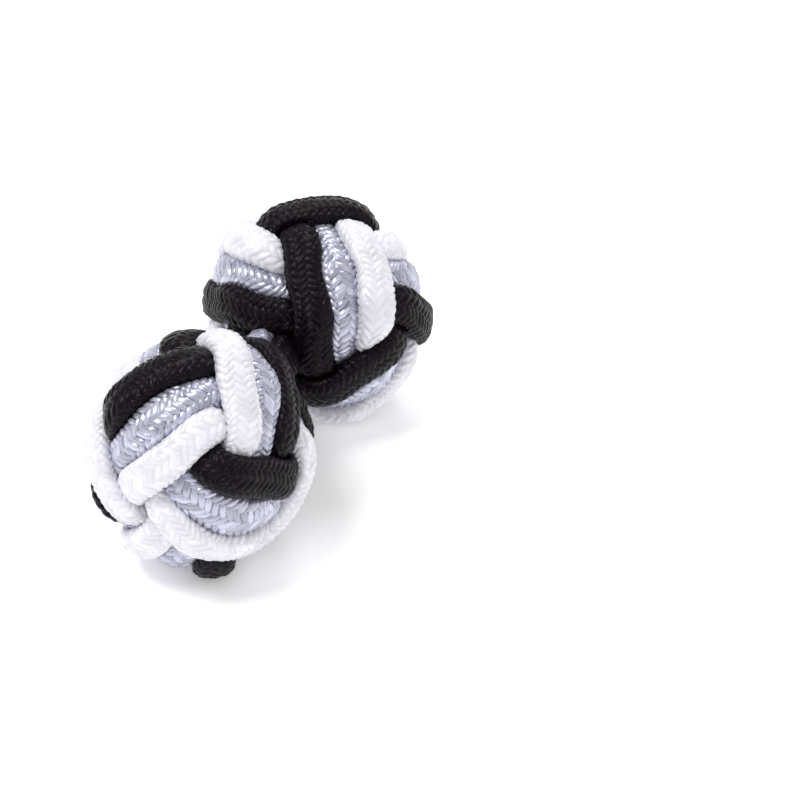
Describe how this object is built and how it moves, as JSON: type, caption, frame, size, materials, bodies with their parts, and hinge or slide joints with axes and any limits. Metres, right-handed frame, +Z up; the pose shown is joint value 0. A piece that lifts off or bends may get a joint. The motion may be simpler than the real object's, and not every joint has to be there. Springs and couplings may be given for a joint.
{
  "type": "silk knot cuff button",
  "caption": "Double-ended cuff fastener of soft braided cords in white, grey and black, tied into a ball knot at each end of a short neck.",
  "frame": {"origin": "on the surface that the part lies on, under the middle of its outline", "axes": "+X along the neck from the front knot to the back knot, +Y sideways, +Z up"},
  "size_m": [0.0276, 0.0138, 0.0146],
  "materials": {
    "white_braid": "matt white braid of fine yarn with a faint sheen",
    "silver_braid": "satin braid of lavender grey yarn with soft bright highlights",
    "black_braid": "braid of warm black yarn with a faint grey sheen"
  },
  "bodies": {
    "root": {"white_cord": "white_braid", "silver_cord": "silver_braid", "black_cord": "black_braid"}
  },
  "joints": []
}
